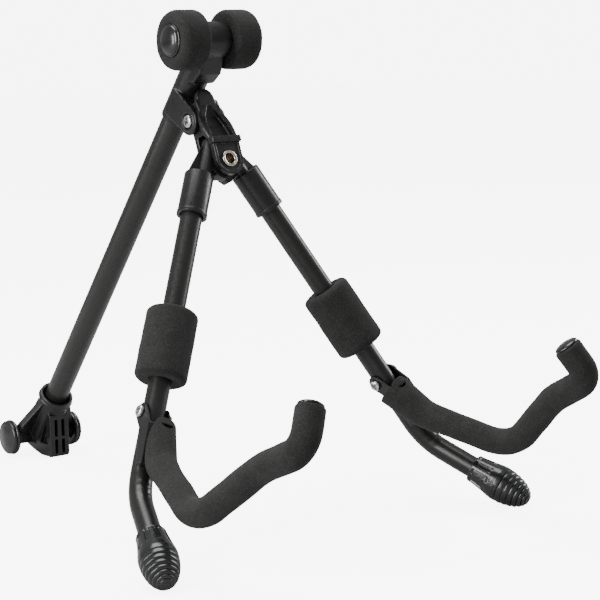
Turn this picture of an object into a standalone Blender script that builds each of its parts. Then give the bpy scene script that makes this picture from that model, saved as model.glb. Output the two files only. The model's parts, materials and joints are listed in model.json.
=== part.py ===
"""Folding A-frame guitar stand: a rear leg with the padded head, and a yoke with two splayed front legs.

Lengths are in millimetres and angles in degrees until an object is made, which turns them into metres.
The stand faces -Y, +Z is up, and the middle of its footprint is at the origin.
"""

import math

import bmesh
import bpy
from mathutils import Matrix, Vector

MM = 0.001
GAP = 0.3                       # between pieces that touch
WELD = 0.005                    # corners closer than this become one

# Driving dimensions of the frame
HINGE_Y = 5.77                  # fold hinge, behind the middle of the footprint
HINGE_Z = 291.65                # fold hinge, above the floor
REAR_LEAN = 38.94               # rear leg from the vertical
FRONT_LEAN = 19.61              # plane of the front legs from the vertical
SPLAY = 26.6                    # each front leg from the middle, on its stop
TUBE_OFFSET = 28.6              # rear tube's axis behind the hinge
RIVET_DROP = 36.3               # leg pivot below the hinge
LEG_PLANE = 8.4                 # plane of the front legs' axes, before the hinge
LEG_OFFSET = 15.0               # each leg's axis beside the leg pivot

# Head and rear leg
REAR_R = 9.6
SLEEVE_R = 11.5
SLEEVE_END = -21.0
AXLE_UP = 53.5                  # roller axle above the hinge, along the rear tube
AXLE_R = 5.0
HUB_R = 13.5
HUB_HALF = 11.5
ROLLER_R = 22.1
ROLLER_IN = 11.9
ROLLER_OUT = 35.2
CAP_R = 12.0
CAP_DOME = 4.6
LUG_R = 10.2
LUG_IN = 10.3
LUG_OUT = 13.9
PIN_R = 2.5
SCREW_HEAD_R = 4.7
BAR_REACH = 377.0               # hinge to the rear foot's cross bar, along the tube
BAR_R = 7.0
PAD_R = 14.8
BAR_HEIGHT = 16.39              # cross bar above the floor

# Yoke and front legs
FRONT_PLATE = (-21.4, -17.0)    # front plate of the yoke, before the hinge
REAR_PLATE = (-1.9, 2.6)
PLATE_R = 12.0
RIVET_R = 4.5
LEG_R = 8.0
LEG_WALL = 1.4
SOCKET_R = 10.8
SOCKET_TOP = 16.0               # this and the next lengths run down a front leg from its pivot
SOCKET_END = 50.0
FOAM_R = 18.5
FOAM_TOP = 124.3
FOAM_END = 176.8
FOAM_SLIP = {"left": 2.3, "right": -1.4}     # how far each sleeve has been pushed down its leg
CRADLE_DROP = 205.0
CRADLE_PIN_R = 2.0
BEND_DROP = 262.7
BEND_ANGLE = 40.7
BEND_RADIUS = 46.0
TUBE_TAIL = 70.0                # tube past the bend's corner
FOOT_START = 45.3               # rubber foot past the bend's corner
FOOT_LENGTH = 49.0
FOOT_WIDEST = 21.5              # widest ring past the foot's rim
FOOT_R = 13.6
COLLAR_R = 10.6

# Cradle arms: corners of the rod, (down the leg, forward of it) from the bracket's screw
ARM_CORNERS = [(17.0, 13.4), (35.0, 15.5), (86.0, 80.3), (60.8, 148.5), (56.6, 190.5), (29.0, 189.5)]
ARM_BENDS = [26.0, 37.0, 55.0, 13.0]
ARM_INSET = 3.0                 # arm's plane inside the leg's axis
ARM_TILT = {"left": -1.6, "right": 2.25}     # small set of each bent rod, in degrees
ARM_STRETCH = {"left": 1.014, "right": 0.985}
ROD_R = 4.0
HOSE_R = 10.0
HOSE_START_R = 12.7
HOSE_START = (9.0, 4.2)
TIP_R = 8.5
STEM_R = 6.4
STEM_POINTS = 5                 # the bracket's stem follows the rod this far
CHEEK_IN = 8.4
CHEEK_OUT = 9.9
EAR_R = 6.8

SIDES = {"left": -1, "right": 1}
ROUND = 20


# ---------------------------------------------------------------- materials

def material(name, colour, roughness, metallic=0.0):
    made = bpy.data.materials.new(name)
    made.use_nodes = True
    shader = made.node_tree.nodes["Principled BSDF"]
    shader.inputs["Base Color"].default_value = (*colour, 1.0)
    shader.inputs["Roughness"].default_value = roughness
    shader.inputs["Metallic"].default_value = metallic
    return made


def make_materials():
    return {
        "coated_steel": material("coated_steel", (0.030, 0.030, 0.030), 0.42, 0.3),
        "plastic": material("moulded_plastic", (0.020, 0.020, 0.021), 0.48),
        "gloss": material("gloss_plastic", (0.012, 0.012, 0.014), 0.16),
        "foam": material("foam", (0.028, 0.028, 0.027), 0.95),
        "rubber": material("rubber", (0.022, 0.023, 0.024), 0.38),
        "zinc": material("zinc", (0.78, 0.80, 0.82), 0.28, 1.0),
        "nickel": material("nickel", (0.72, 0.68, 0.63), 0.18, 1.0),
    }


# ---------------------------------------------------------------- shape tools

def new_object(name, mesh_data):
    made = bpy.data.objects.new(name, mesh_data)
    bpy.context.scene.collection.objects.link(made)
    return made


def from_bmesh(shape, name="shape"):
    bmesh.ops.recalc_face_normals(shape, faces=shape.faces)
    data = bpy.data.meshes.new(name)
    shape.to_mesh(data)
    shape.free()
    return new_object(name, data)


def rings_to_solid(rings, loop=False):
    """Skins a list of equal rings of points; the last joins the first when loop is set."""
    shape = bmesh.new()
    grid = [[shape.verts.new(point) for point in ring] for ring in rings]
    count = len(grid[0])
    pairs = list(zip(grid, grid[1:]))
    if loop:
        pairs.append((grid[-1], grid[0]))
    for low, high in pairs:
        for i in range(count):
            j = (i + 1) % count
            shape.faces.new((low[i], low[j], high[j], high[i]))
    if not loop:
        shape.faces.new(grid[0])
        shape.faces.new(grid[-1])
    return from_bmesh(shape)


def turned(profile, sides=ROUND):
    """Turns (radius, height) points about Z; a radius of 0 at an end closes it with a point."""
    shape = bmesh.new()
    rows = []
    for radius, height in profile:
        if radius == 0:
            rows.append([shape.verts.new((0, 0, height))])
            continue
        angles = [k * math.tau / sides for k in range(sides)]
        rows.append([shape.verts.new((radius * math.cos(a), radius * math.sin(a), height)) for a in angles])
    is_ring = profile[0][0] != 0 and profile[0] != profile[-1] and len(rows[0]) == sides
    pairs = list(zip(rows, rows[1:]))
    if is_ring:
        pairs.append((rows[-1], rows[0]))
    for low, high in pairs:
        for k in range(sides):
            j = (k + 1) % sides
            if len(low) == 1:
                shape.faces.new((low[0], high[j], high[k]))
            elif len(high) == 1:
                shape.faces.new((low[k], low[j], high[0]))
            else:
                shape.faces.new((low[k], low[j], high[j], high[k]))
    return from_bmesh(shape)


def rod(radius, low, high, sides=ROUND):
    return turned([(0, low), (radius, low), (radius, high), (0, high)], sides)


def pipe(outer, inner, low, high, sides=ROUND):
    return turned([(outer, low), (outer, high), (inner, high), (inner, low)], sides)


def hull(points):
    shape = bmesh.new()
    for point in points:
        shape.verts.new(point)
    result = bmesh.ops.convex_hull(shape, input=shape.verts)
    loose = [v for v in result["geom_interior"] if isinstance(v, bmesh.types.BMVert)]
    bmesh.ops.delete(shape, geom=loose, context="VERTS")
    return from_bmesh(shape)


def box(low, high):
    return hull([(x, y, z) for x in (low[0], high[0]) for y in (low[1], high[1]) for z in (low[2], high[2])])


def moved(made, matrix):
    made.data.transform(matrix)
    if matrix.determinant() < 0:
        made.data.flip_normals()
    return made


def shift(made, x=0.0, y=0.0, z=0.0):
    return moved(made, Matrix.Translation((x, y, z)))


def turn(made, degrees, axis):
    return moved(made, Matrix.Rotation(math.radians(degrees), 4, axis))


def along_x(made):
    """Lays a shape that was made along Z over, so that it runs along +X."""
    return turn(made, 90, "Y")


def side_profile(outline, low, high):
    """Extrudes an outline of (y, z) points across X."""
    return rings_to_solid([[(x, y, z) for y, z in outline] for x in (low, high)])


def weld(made):
    """Merges corners that a cut leaves within a few micrometres of each other."""
    shape = bmesh.new()
    shape.from_mesh(made.data)
    bmesh.ops.remove_doubles(shape, verts=shape.verts, dist=WELD)
    bmesh.ops.dissolve_degenerate(shape, edges=shape.edges, dist=WELD)
    shape.to_mesh(made.data)
    shape.free()
    return made


def boolean(target, tool, operation):
    change = target.modifiers.new(operation, "BOOLEAN")
    change.operation = operation
    change.solver = "EXACT"
    change.object = tool
    view = bpy.context.evaluated_depsgraph_get()
    result = bpy.data.meshes.new_from_object(target.evaluated_get(view))
    target.modifiers.clear()
    target.data = result
    bpy.data.objects.remove(tool)
    return weld(target)


def join(first, *others):
    for other in others:
        boolean(first, other, "UNION")
    return first


def cut(first, *tools):
    for tool in tools:
        boolean(first, tool, "DIFFERENCE")
    return first


def bevel_edges(made, width, angle=35.0, segments=2):
    """Rounds every edge that turns by more than the angle."""
    shape = bmesh.new()
    shape.from_mesh(made.data)
    bmesh.ops.dissolve_limit(shape, angle_limit=math.radians(1.0), verts=shape.verts, edges=shape.edges)
    sharp = [e for e in shape.edges if e.is_manifold and e.calc_face_angle(0) > math.radians(angle)]
    bmesh.ops.bevel(shape, geom=sharp, offset=width, segments=segments, affect="EDGES", clamp_overlap=True)
    shape.to_mesh(made.data)
    shape.free()
    return made


def arc(centre, radius, start, end, steps):
    """Points of a circle's arc, both ends included, angles in degrees."""
    points = []
    for k in range(steps + 1):
        angle = math.radians(start + (end - start) * k / steps)
        points.append((centre[0] + radius * math.cos(angle), centre[1] + radius * math.sin(angle)))
    return points


def rounded_path(corners, radii, steps=5):
    """A centre line through corners, each inner corner rounded to its radius."""
    corners = [Vector(c) for c in corners]
    path = [corners[0]]
    for before, corner, after, radius in zip(corners, corners[1:], corners[2:], radii):
        into = (corner - before).normalized()
        out = (after - corner).normalized()
        half = into.angle(out) / 2
        start = corner - into * radius * math.tan(half)
        inward = (out - into).normalized()
        centre = corner + inward * radius / math.cos(half)
        axis = into.cross(out).normalized()
        for k in range(steps + 1):
            spin = Matrix.Rotation(2 * half * k / steps, 3, axis)
            path.append(centre + spin @ (start - centre))
    path.append(corners[-1])
    return path


def sweep(path, radii, across, sides=16, bore=0.0):
    """A round bar along a flat path; across is the path plane's normal. A bore makes it a hose."""
    across = Vector(across).normalized()
    rings = []
    for k, point in enumerate(path):
        ahead = path[min(k + 1, len(path) - 1)] - point
        behind = point - path[max(k - 1, 0)]
        tangent = (ahead.normalized() + behind.normalized()).normalized()
        side = tangent.cross(across).normalized()
        rings.append((point, side, radii[k]))

    def ring(entry, radius):
        point, side, _ = entry
        turns = [math.tau * i / sides for i in range(sides)]
        return [point + (side * math.cos(a) + across * math.sin(a)) * radius for a in turns]

    outer = [ring(entry, entry[2]) for entry in rings]
    if not bore:
        return rings_to_solid(outer)
    inner = [ring(entry, bore) for entry in reversed(rings)]
    return rings_to_solid(outer + inner, loop=True)


def finish(made, name, look, parent):
    """Names a shape, scales it to metres, gives it its material and hangs it on its frame."""
    made.data.transform(Matrix.Scale(MM, 4))
    made.name = name
    made.data.name = name
    made.data.materials.clear()
    made.data.materials.append(look)
    made.data.shade_smooth()
    made.data.set_sharp_from_angle(angle=math.radians(35))
    made.parent = parent
    return made


def frame(name, parent, place, rotation):
    """An empty on a joint axis; everything that moves with the joint hangs on it."""
    empty = new_object(name, None)
    empty.parent = parent
    empty.location = Vector(place) * MM
    empty.rotation_euler = [math.radians(a) for a in rotation]
    return empty


# ---------------------------------------------------------------- fasteners

def cross_screw(head_r, head_height, shank_r, shank_end, sides=12):
    """A pan-head screw with a cross recess; its head's seat is at 0 and its shank runs along -Z."""
    height = head_height
    profile = [(0, shank_end), (shank_r, shank_end), (shank_r, 0), (head_r, 0), (head_r, height * 0.4)]
    profile += [(head_r * 0.86, height * 0.82), (head_r * 0.6, height), (0, height)]
    made = turned(profile, sides)
    wing = head_r * 0.55
    slot = head_r * 0.11
    for spin in (20, 110):
        made = cut(made, turn(box((-wing, -slot, height * 0.35), (wing, slot, height * 2)), spin, "Z"))
    return made


def hex_nut(across_corners, bore, height):
    return cut(rod(across_corners, 0, height, sides=6), rod(bore, -1, height + 1, sides=16))


# ---------------------------------------------------------------- head and rear leg

def head_block():
    hub = shift(along_x(rod(HUB_R, -HUB_HALF, HUB_HALF)), y=TUBE_OFFSET, z=AXLE_UP)
    sleeve = shift(rod(SLEEVE_R, SLEEVE_END, AXLE_UP - 4), y=TUBE_OFFSET)
    trunk_outline = [(31, 60), (18, 52), (12.6, 34), (15.6, 22.5), (22, 18), (37, 24), (39, 52)]
    trunk = bevel_edges(side_profile(trunk_outline, -10.2, 10.2), 2.6)
    made = join(sleeve, hub, trunk)
    reach = TUBE_OFFSET + 1.0
    lug_outline = arc((0, 0), LUG_R, 88, 262, 14) + [(reach, -14.5), (reach, 8.0)]
    for side in SIDES.values():
        low, high = sorted((side * LUG_IN, side * LUG_OUT))
        made = join(made, bevel_edges(side_profile(lug_outline, low, high), 0.6, segments=1))
    tube_bore = shift(rod(REAR_R + GAP, SLEEVE_END - 5, 22), y=TUBE_OFFSET)
    axle_bore = shift(along_x(turn(rod(AXLE_R + GAP, -30, 30, sides=24), 5, "Z")), y=TUBE_OFFSET, z=AXLE_UP)
    screw_bore = along_x(rod(PIN_R + GAP, -30, 30, sides=16))
    head_room = along_x(rod(SCREW_HEAD_R + 1.1, -30, -LUG_OUT + 1.8, sides=24))
    nut_room = along_x(rod(SCREW_HEAD_R + 1.1, LUG_OUT - 1.8, 30, sides=24))
    return cut(made, tube_bore, axle_bore, screw_bore, head_room, nut_room)


def roller(side):
    """A foam roller with deep round shoulders, turned about X."""
    shoulder = 6.0
    inner = 3.5
    outline = [(AXLE_R + GAP, ROLLER_IN)]
    outline += arc((ROLLER_R - inner, ROLLER_IN + inner), inner, -90, 0, 3)
    outline += arc((ROLLER_R - shoulder, ROLLER_OUT - shoulder), shoulder, 0, 90, 4)
    outline.append((AXLE_R + GAP, ROLLER_OUT))
    made = along_x(turned(outline))
    made = turn(made, 0 if side > 0 else 180, "Z")
    return shift(made, y=TUBE_OFFSET, z=AXLE_UP)


def roller_cap(side):
    """A domed push-in cap; its shank sits in the hollow axle."""
    seat = ROLLER_OUT + GAP
    edge = seat + 1.2
    shank_r = 2.6
    profile = [(0, seat - 9), (shank_r, seat - 9), (shank_r, seat), (CAP_R, seat), (CAP_R, edge)]
    for k in range(1, 4):
        angle = math.radians(90 * k / 4)
        profile.append((CAP_R * math.cos(angle), edge + (CAP_DOME - 1.2) * math.sin(angle)))
    profile.append((0, seat + CAP_DOME))
    made = turn(along_x(turned(profile, 16)), 0 if side > 0 else 180, "Z")
    return shift(made, y=TUBE_OFFSET, z=AXLE_UP)


def build_head(rear, looks):
    finish(head_block(), "head_block", looks["plastic"], rear)
    axle = shift(along_x(pipe(AXLE_R, 3.0, -ROLLER_OUT, ROLLER_OUT, 24)), y=TUBE_OFFSET, z=AXLE_UP)
    finish(axle, "top_axle", looks["coated_steel"], rear)
    for name, side in SIDES.items():
        finish(roller(side), f"roller_foam_{name}", looks["foam"], rear)
        finish(roller_cap(side), f"roller_cap_{name}", looks["gloss"], rear)
    seat = LUG_OUT - 1.8 + GAP
    screw = cross_screw(SCREW_HEAD_R, 2.6, PIN_R, -2 * seat - 3.6)
    finish(shift(turn(screw, -90, "Y"), x=-seat), "hinge_screw", looks["zinc"], rear)
    nut = hex_nut(SCREW_HEAD_R, PIN_R + GAP, 3.4)
    finish(shift(along_x(nut), x=seat), "hinge_nut", looks["zinc"], rear)
    tube = shift(pipe(REAR_R, REAR_R - 1.5, -BAR_REACH + 9, 20), y=TUBE_OFFSET)
    finish(tube, "rear_leg_tube", looks["coated_steel"], rear)


def rear_foot_block():
    """The rear foot about the middle of its cross bar, upright as it stands."""
    half = 9.2
    floor = -BAR_HEIGHT
    outline = [(-33, floor + 2.5), (-31, floor), (-19, floor), (-6, floor + 3.2), (6, floor + 6.8)]
    outline += [(11, -5), (9, 6), (-14, 34), (-33, 20)]
    body = bevel_edges(side_profile(outline, -half, half), 1.0, segments=1)
    collar = turned([(0, -2), (13.4, -2), (12.8, 44), (14.9, 45.2), (14.9, 49), (0, 49)])
    collar = turn(collar, REAR_LEAN, "X")
    bar = along_x(rod(BAR_R, -23.5, 23.5, 24))
    made = join(body, collar, bar)
    brace_outline = [(8, 36), (13.2, 43.5), (26, 12.5), (25.6, 9.6), (23.2, 8.9), (21, -3), (8, -5)]
    for side in SIDES.values():
        brace = rings_to_solid([[(side * x, y, z) for x, z in brace_outline] for y in (-3.5, 3)])
        made = join(made, turn(brace, REAR_LEAN, "X"))
    made = cut(made, box((-40, -60, floor - 20), (40, 60, floor)))
    tube_room = turn(rod(REAR_R + GAP, 6, 60), REAR_LEAN, "X")
    mouth = turn(turned([(0, 44), (REAR_R, 44), (12.6, 49.5), (12.6, 52), (0, 52)]), REAR_LEAN, "X")
    made = cut(made, tube_room, mouth)
    for x in (-3.4, 3.4):
        for low, high in ((floor + 3.0, -1.0), (1.6, 16.0)):
            made = cut(made, box((x - 1.5, -40, low), (x + 1.5, -28, high)))
    for side in SIDES.values():
        recess = side_profile([(-24.0, 13.5), (-14.5, -4.6), (-27.5, -5.4)], half - 4.1, half + 20)
        if side < 0:
            recess = moved(recess, Matrix.Scale(-1, 4, (1, 0, 0)))
        made = cut(made, recess)
    return made


def rear_pad(side):
    """A mushroom pad on the bar's end: a stem, a rounded rim and a low dome."""
    start = 23.5 + GAP
    profile = [(0, start), (8.5, start), (8.2, 26.6), (11.5, 27.4)]
    profile += arc((PAD_R - 2.8, 30.2), 2.8, -60, 60, 4)
    profile += [(9.5, 34.4), (5.0, 35.3), (0, 35.6)]
    return turn(along_x(turned(profile, 16)), 0 if side > 0 else 180, "Z")


def build_rear_foot(rear, looks):
    foot = frame("rear_foot_frame", rear, (0, TUBE_OFFSET, -BAR_REACH), (-REAR_LEAN, 0, 0))
    finish(rear_foot_block(), "rear_foot", looks["plastic"], foot)
    for name, side in SIDES.items():
        finish(rear_pad(side), f"rear_pad_{name}", looks["rubber"], foot)


# ---------------------------------------------------------------- yoke

def tongue(radius, top, drop, low, high):
    """A plate that hangs from top and ends in a half circle about the leg pivot, thick along Y."""
    outline = [(radius, top)] + arc((0, -drop), radius, 0, -180, 14) + [(-radius, top)]
    return rings_to_solid([[(x, y, z) for x, z in outline] for y in (low, high)])


def wedge(top, bottom):
    """A block between two levels, each given as (z, half width, front, back)."""
    points = []
    for z, half, front, back in (top, bottom):
        points += [(x, y, z) for x in (-half, half) for y in (front, back)]
    return hull(points)


def yoke_block():
    knuckle = along_x(rod(9.2, -10.0, 10.0))
    crown_outline = [(8.6, 0)] + arc((0, 13.9), 8.2, 0, 180, 12) + [(-8.6, 0)]
    crown = rings_to_solid([[(x, y, z) for x, z in crown_outline] for y in (-10.4, -4.2)])
    core = side_profile([(-10, 13), (-3, 11), (2.6, 6), (2.6, -14.2), (-18, -14.2), (-14, -3)], -10.0, 10.0)
    upper = wedge((8, 8.8, -10.2, -9.0), (-3, 12.2, -14.6, -11.6))
    lower = wedge((-3, 12.2, -14.6, -11.6), (-20, 12.6, -21.4, -17.0))
    front = tongue(PLATE_R, -18, RIVET_DROP, *FRONT_PLATE)
    rear = tongue(10.0, -6, RIVET_DROP, *REAR_PLATE)
    shelf = bevel_edges(box((-12.6, -24.4, -24.4), (12.6, -17.0, -19.4)), 1.0)
    made = join(core, knuckle, crown, upper, lower, front, rear, shelf)
    pocket_outline = [(-40, 7), (-7.2, 7), (-7.6, -1), (-12, -11), (-18.9, -13.5), (-18.9, -18.6)]
    pocket = bevel_edges(side_profile(pocket_outline + [(-40, -18.6)], -7.6, 7.6), 1.5)
    pivot = turn(rod(RIVET_R + GAP, -40, 40, 24), 90, "X")
    pin = along_x(rod(PIN_R + GAP, -30, 30, 16))
    return cut(made, pocket, shift(pivot, z=-RIVET_DROP), pin)


def leg_rivet():
    """A hollow rivet with a rolled rim in front, along Y."""
    front = -FRONT_PLATE[0] + GAP
    back = -REAR_PLATE[1] - GAP
    flange = 6.3
    bore = 3.9
    profile = [(RIVET_R, back), (RIVET_R, front), (flange, front), (flange, front + 0.5)]
    profile += [(flange - 0.6, front + 1.1), (flange - 1.5, front + 1.2), (flange - 2.1, front + 0.8)]
    profile += [(bore, front - 0.6), (bore, back - 1.4), (flange, back - 1.4), (flange, back)]
    return shift(turn(turned(profile, 20), 90, "X"), z=-RIVET_DROP)


def build_yoke(front, looks):
    finish(yoke_block(), "yoke", looks["plastic"], front)
    finish(leg_rivet(), "leg_rivet", looks["nickel"], front)


# ---------------------------------------------------------------- front legs

def leg_socket(side):
    """Sleeve, neck, fin and flat knuckle; the left knuckle lies before the right one."""
    layer = (1.2, 8.2) if side < 0 else (-6.2, 0.9)
    middle = 2.4 if side < 0 else -0.6
    neck_x = LEG_OFFSET - 2.5
    neck_r = 5.4
    neck_top = 12.6
    sleeve = shift(rod(SOCKET_R, -SOCKET_END, -SOCKET_TOP), x=LEG_OFFSET)
    neck = shift(rod(neck_r, -SOCKET_TOP - 2, neck_top, 24), x=neck_x, y=-middle)
    lobe_r = 14.4 if side < 0 else 15.6
    lobe_start = -104
    outline = [(neck_x, 10.5), (2.5, 6.6)] + arc((0, 0), 7.0, 90, 180, 6) + [(-7.0, -9.0)]
    outline += arc((0, 0), lobe_r, lobe_start, -52, 8) + [(neck_x, -SOCKET_TOP - 1)]
    knuckle = rings_to_solid([[(x, -n, z) for x, z in outline] for n in layer])
    lip = LEG_OFFSET + SOCKET_R - 0.8
    fin_outline = [(neck_x + 2, 11), (neck_x + 6.5, 5), (neck_x + 2, -18)]
    fin_outline += [(lip - 2, -18), (lip, -SOCKET_TOP)]
    fin = hull([(x, y - middle, z) for x, z in fin_outline for y in (-1.1, 1.1)])
    made = join(sleeve, neck, knuckle, fin)
    leg_room = shift(rod(LEG_R + GAP, -SOCKET_END - 5, -SOCKET_TOP - 2), x=LEG_OFFSET)
    pivot = turn(rod(RIVET_R + GAP, -40, 40, 24), 90, "X")
    return cut(made, leg_room, pivot)


def leg_tube():
    bend = math.radians(BEND_ANGLE)
    corner = Vector((LEG_OFFSET, 0, -BEND_DROP))
    tail = corner + Vector((0, -math.sin(bend), -math.cos(bend))) * TUBE_TAIL
    start = Vector((LEG_OFFSET, 0, -SOCKET_TOP - 3))
    path = rounded_path([start, corner, tail], [BEND_RADIUS], 5)
    made = sweep(path, [LEG_R] * len(path), (1, 0, 0), 16, bore=LEG_R - LEG_WALL)
    screw_hole = shift(along_x(rod(CRADLE_PIN_R + GAP, -12, 12, 12)), x=LEG_OFFSET, z=-CRADLE_DROP)
    return cut(made, screw_hole)


def leg_foam():
    edge = 3.4
    outline = [(LEG_R + GAP, -FOAM_END)]
    outline += arc((FOAM_R - edge, -FOAM_END + edge), edge, -90, 0, 3)
    outline += arc((FOAM_R - edge, -FOAM_TOP - edge), edge, 0, 90, 3)
    outline.append((LEG_R + GAP, -FOAM_TOP))
    return shift(turned(outline), x=LEG_OFFSET)


def nose_point(angle):
    """(radius, reach) on the foot's elliptical nose, from 0 at its widest to 90 at its tip."""
    angle = math.radians(angle)
    return FOOT_R * math.cos(angle), FOOT_WIDEST + (FOOT_LENGTH - FOOT_WIDEST) * math.sin(angle)


def rubber_foot():
    """A slip-on foot on the bent end of the leg: a tapered collar and a stepped nose."""
    steps = 6
    pitch = 90 / steps
    profile = [(0, 0), (COLLAR_R, 0), (COLLAR_R + (FOOT_R - COLLAR_R) * 0.4, FOOT_WIDEST * 0.5)]
    for k in range(steps):
        radius, reach = nose_point(pitch * k)
        next_radius, next_reach = nose_point(pitch * (k + 1))
        rise = next_reach - reach
        crest = radius - (radius - next_radius) * 0.3
        profile.append((crest, reach + rise * 0.05))
        profile.append((crest - (radius - next_radius) * 0.25, reach + rise * 0.8))
        if k < steps - 1:
            profile.append((next_radius - 0.3, reach + rise * 0.9))
    profile.append((0, FOOT_LENGTH))
    socket = rod(LEG_R + GAP, -5, TUBE_TAIL - FOOT_START + 1, 16)
    made = shift(cut(turned(profile, 18), socket), z=FOOT_START)
    made = turn(made, 180 - BEND_ANGLE, "X")
    return shift(made, x=LEG_OFFSET, z=-BEND_DROP)


def mirrored(made, side):
    """The shapes are made for the right side; the left one is their mirror image."""
    return made if side > 0 else moved(made, Matrix.Scale(-1, 4, (1, 0, 0)))


def build_leg(name, side, leg, looks):
    finish(mirrored(leg_socket(side), side), f"leg_socket_{name}", looks["plastic"], leg)
    finish(mirrored(leg_tube(), side), f"leg_tube_{name}", looks["coated_steel"], leg)
    sleeve = shift(leg_foam(), z=-FOAM_SLIP[name])
    finish(mirrored(sleeve, side), f"leg_foam_{name}", looks["foam"], leg)
    finish(mirrored(rubber_foot(), side), f"rubber_foot_{name}", looks["rubber"], leg)


# ---------------------------------------------------------------- cradle arms

def arm_corner(down, forward, name):
    """A corner of the arm, stretched forward and turned by its small tilt about the bracket's screw."""
    tilt = math.radians(ARM_TILT[name])
    forward *= ARM_STRETCH[name]
    u = down * math.cos(tilt) - forward * math.sin(tilt)
    v = down * math.sin(tilt) + forward * math.cos(tilt)
    return Vector((-ARM_INSET, -v, -u))


def arm_path(name, steps=4):
    corners = [arm_corner(*corner, name) for corner in ARM_CORNERS]
    return rounded_path(corners, ARM_BENDS, steps)


def cradle_bracket(name):
    """Two ears on the screw, cheeks beside the leg, a web before it and a stem round the rod."""
    cheek_outline = arc((0, 0), EAR_R, 30, 210, 10)
    cheek_outline += [(0.6, -12), (4.5, -30), (6.5, -41), (13.5, -38), (14, -10)]
    made = box((-CHEEK_OUT, -14.0, -40.0), (CHEEK_OUT, -9.0, -9.6))
    for low, high in ((-CHEEK_OUT, -CHEEK_IN), (CHEEK_IN, CHEEK_OUT)):
        made = join(made, rings_to_solid([[(x, -v, w) for v, w in cheek_outline] for x in (low, high)]))
    path = arm_path(name)
    stem = sweep(path[:STEM_POINTS], [STEM_R] * STEM_POINTS, (1, 0, 0), 14)
    made = join(made, stem)
    back = path[0] - (path[1] - path[0]).normalized() * GAP
    rod_room = sweep([back] + path[1:], [ROD_R + GAP] * len(path), (1, 0, 0), 8)
    pin = along_x(rod(CRADLE_PIN_R + GAP, -30, 30, 16))
    leg_room = box((-CHEEK_IN, -8.9, -80), (CHEEK_IN, 30, 30))
    return cut(made, leg_room, rod_room, pin)


def arm_rod(name):
    path = arm_path(name)
    return sweep(path, [ROD_R] * len(path), (1, 0, 0), 8)


def hose_path(name):
    """The hose starts over the bracket and joins the rod's line where it leaves the leg."""
    start = arm_corner(*HOSE_START, name)
    return [start] + arm_path(name)[3:]


def arm_hose(name):
    path = hose_path(name)
    travelled = 0.0
    radii = []
    for k, point in enumerate(path):
        if k:
            travelled += (point - path[k - 1]).length
        ease = min(1.0, travelled / 58.0)
        ease = ease * ease * (3 - 2 * ease)
        radii.append(HOSE_START_R + (HOSE_R - HOSE_START_R) * ease)
    return path, radii


def arm_foam(name):
    path, radii = arm_hose(name)
    made = sweep(path, radii, (1, 0, 0), 12)
    leg_slot = box((-CHEEK_OUT - GAP, -14.4, -60), (CHEEK_OUT + GAP, 30, 30))
    made = cut(made, leg_slot)
    line = arm_path(name)
    ahead = (line[1] - line[0]).normalized()
    reach = line[-1] + (line[-1] - line[-2]).normalized() * 5
    bore = sweep(line[:-1] + [reach], [ROD_R + GAP] * len(line), (1, 0, 0), 8)
    stem_line = [line[0] - ahead * 8] + line[1:STEM_POINTS + 1]
    stem_room = sweep(stem_line, [STEM_R + GAP] * len(stem_line), (1, 0, 0), 14)
    return cut(made, bore, stem_room)


def arm_cap(name):
    """A low dome on the arm's tip."""
    line = arm_path(name)
    ahead = (line[-1] - line[-2]).normalized()
    profile = [(0, 0), (TIP_R, 0), (TIP_R, 0.8)]
    for k in range(1, 4):
        angle = math.radians(90 * k / 4)
        profile.append((TIP_R * math.cos(angle), 0.8 + 2.6 * math.sin(angle)))
    profile.append((0, 3.4))
    made = turned(profile, 16)
    spin = Vector((0, 0, 1)).rotation_difference(ahead).to_matrix().to_4x4()
    return moved(moved(made, spin), Matrix.Translation(line[-1] + ahead * GAP))


def build_cradle(name, side, cradle, looks):
    """The bracket rides centred on the leg; screws enter both brackets from the same side."""
    finish(mirrored(cradle_bracket(name), side), f"cradle_bracket_{name}", looks["plastic"], cradle)
    seat = CHEEK_OUT + GAP
    screw = cross_screw(4.3, 2.4, CRADLE_PIN_R, -2 * seat - 3.2)
    finish(shift(turn(screw, -90, "Y"), x=-seat), f"cradle_screw_{name}", looks["zinc"], cradle)
    nut = hex_nut(4.3, CRADLE_PIN_R + GAP, 3.0)
    finish(shift(along_x(nut), x=seat), f"cradle_nut_{name}", looks["zinc"], cradle)
    finish(mirrored(arm_rod(name), side), f"cradle_arm_{name}", looks["coated_steel"], cradle)
    finish(mirrored(arm_foam(name), side), f"arm_foam_{name}", looks["foam"], cradle)
    finish(mirrored(arm_cap(name), side), f"arm_cap_{name}", looks["gloss"], cradle)


# ---------------------------------------------------------------- assembly

def main():
    for old in list(bpy.data.objects):
        bpy.data.objects.remove(old)
    looks = make_materials()
    rear = frame("rear_frame", None, (0, HINGE_Y, HINGE_Z), (REAR_LEAN, 0, 0))
    front = frame("front_frame", None, (0, HINGE_Y, HINGE_Z), (-FRONT_LEAN, 0, 0))
    build_head(rear, looks)
    build_rear_foot(rear, looks)
    build_yoke(front, looks)
    for name, side in SIDES.items():
        leg = frame(f"{name}_leg_frame", front, (0, -LEG_PLANE, -RIVET_DROP), (0, -side * SPLAY, 0))
        build_leg(name, side, leg, looks)
        place = (side * LEG_OFFSET, 0, -CRADLE_DROP)
        cradle = frame(f"{name}_cradle_frame", leg, place, (0, 0, 0))
        build_cradle(name, side, cradle, looks)


main()
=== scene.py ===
"""Folding A-frame guitar rack: fine shapes and surfaces on its jointed frame, on a pale studio floor.
"""

import json
import math

import bmesh
import bpy
import numpy as np
from mathutils import Matrix, Vector, noise


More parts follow.
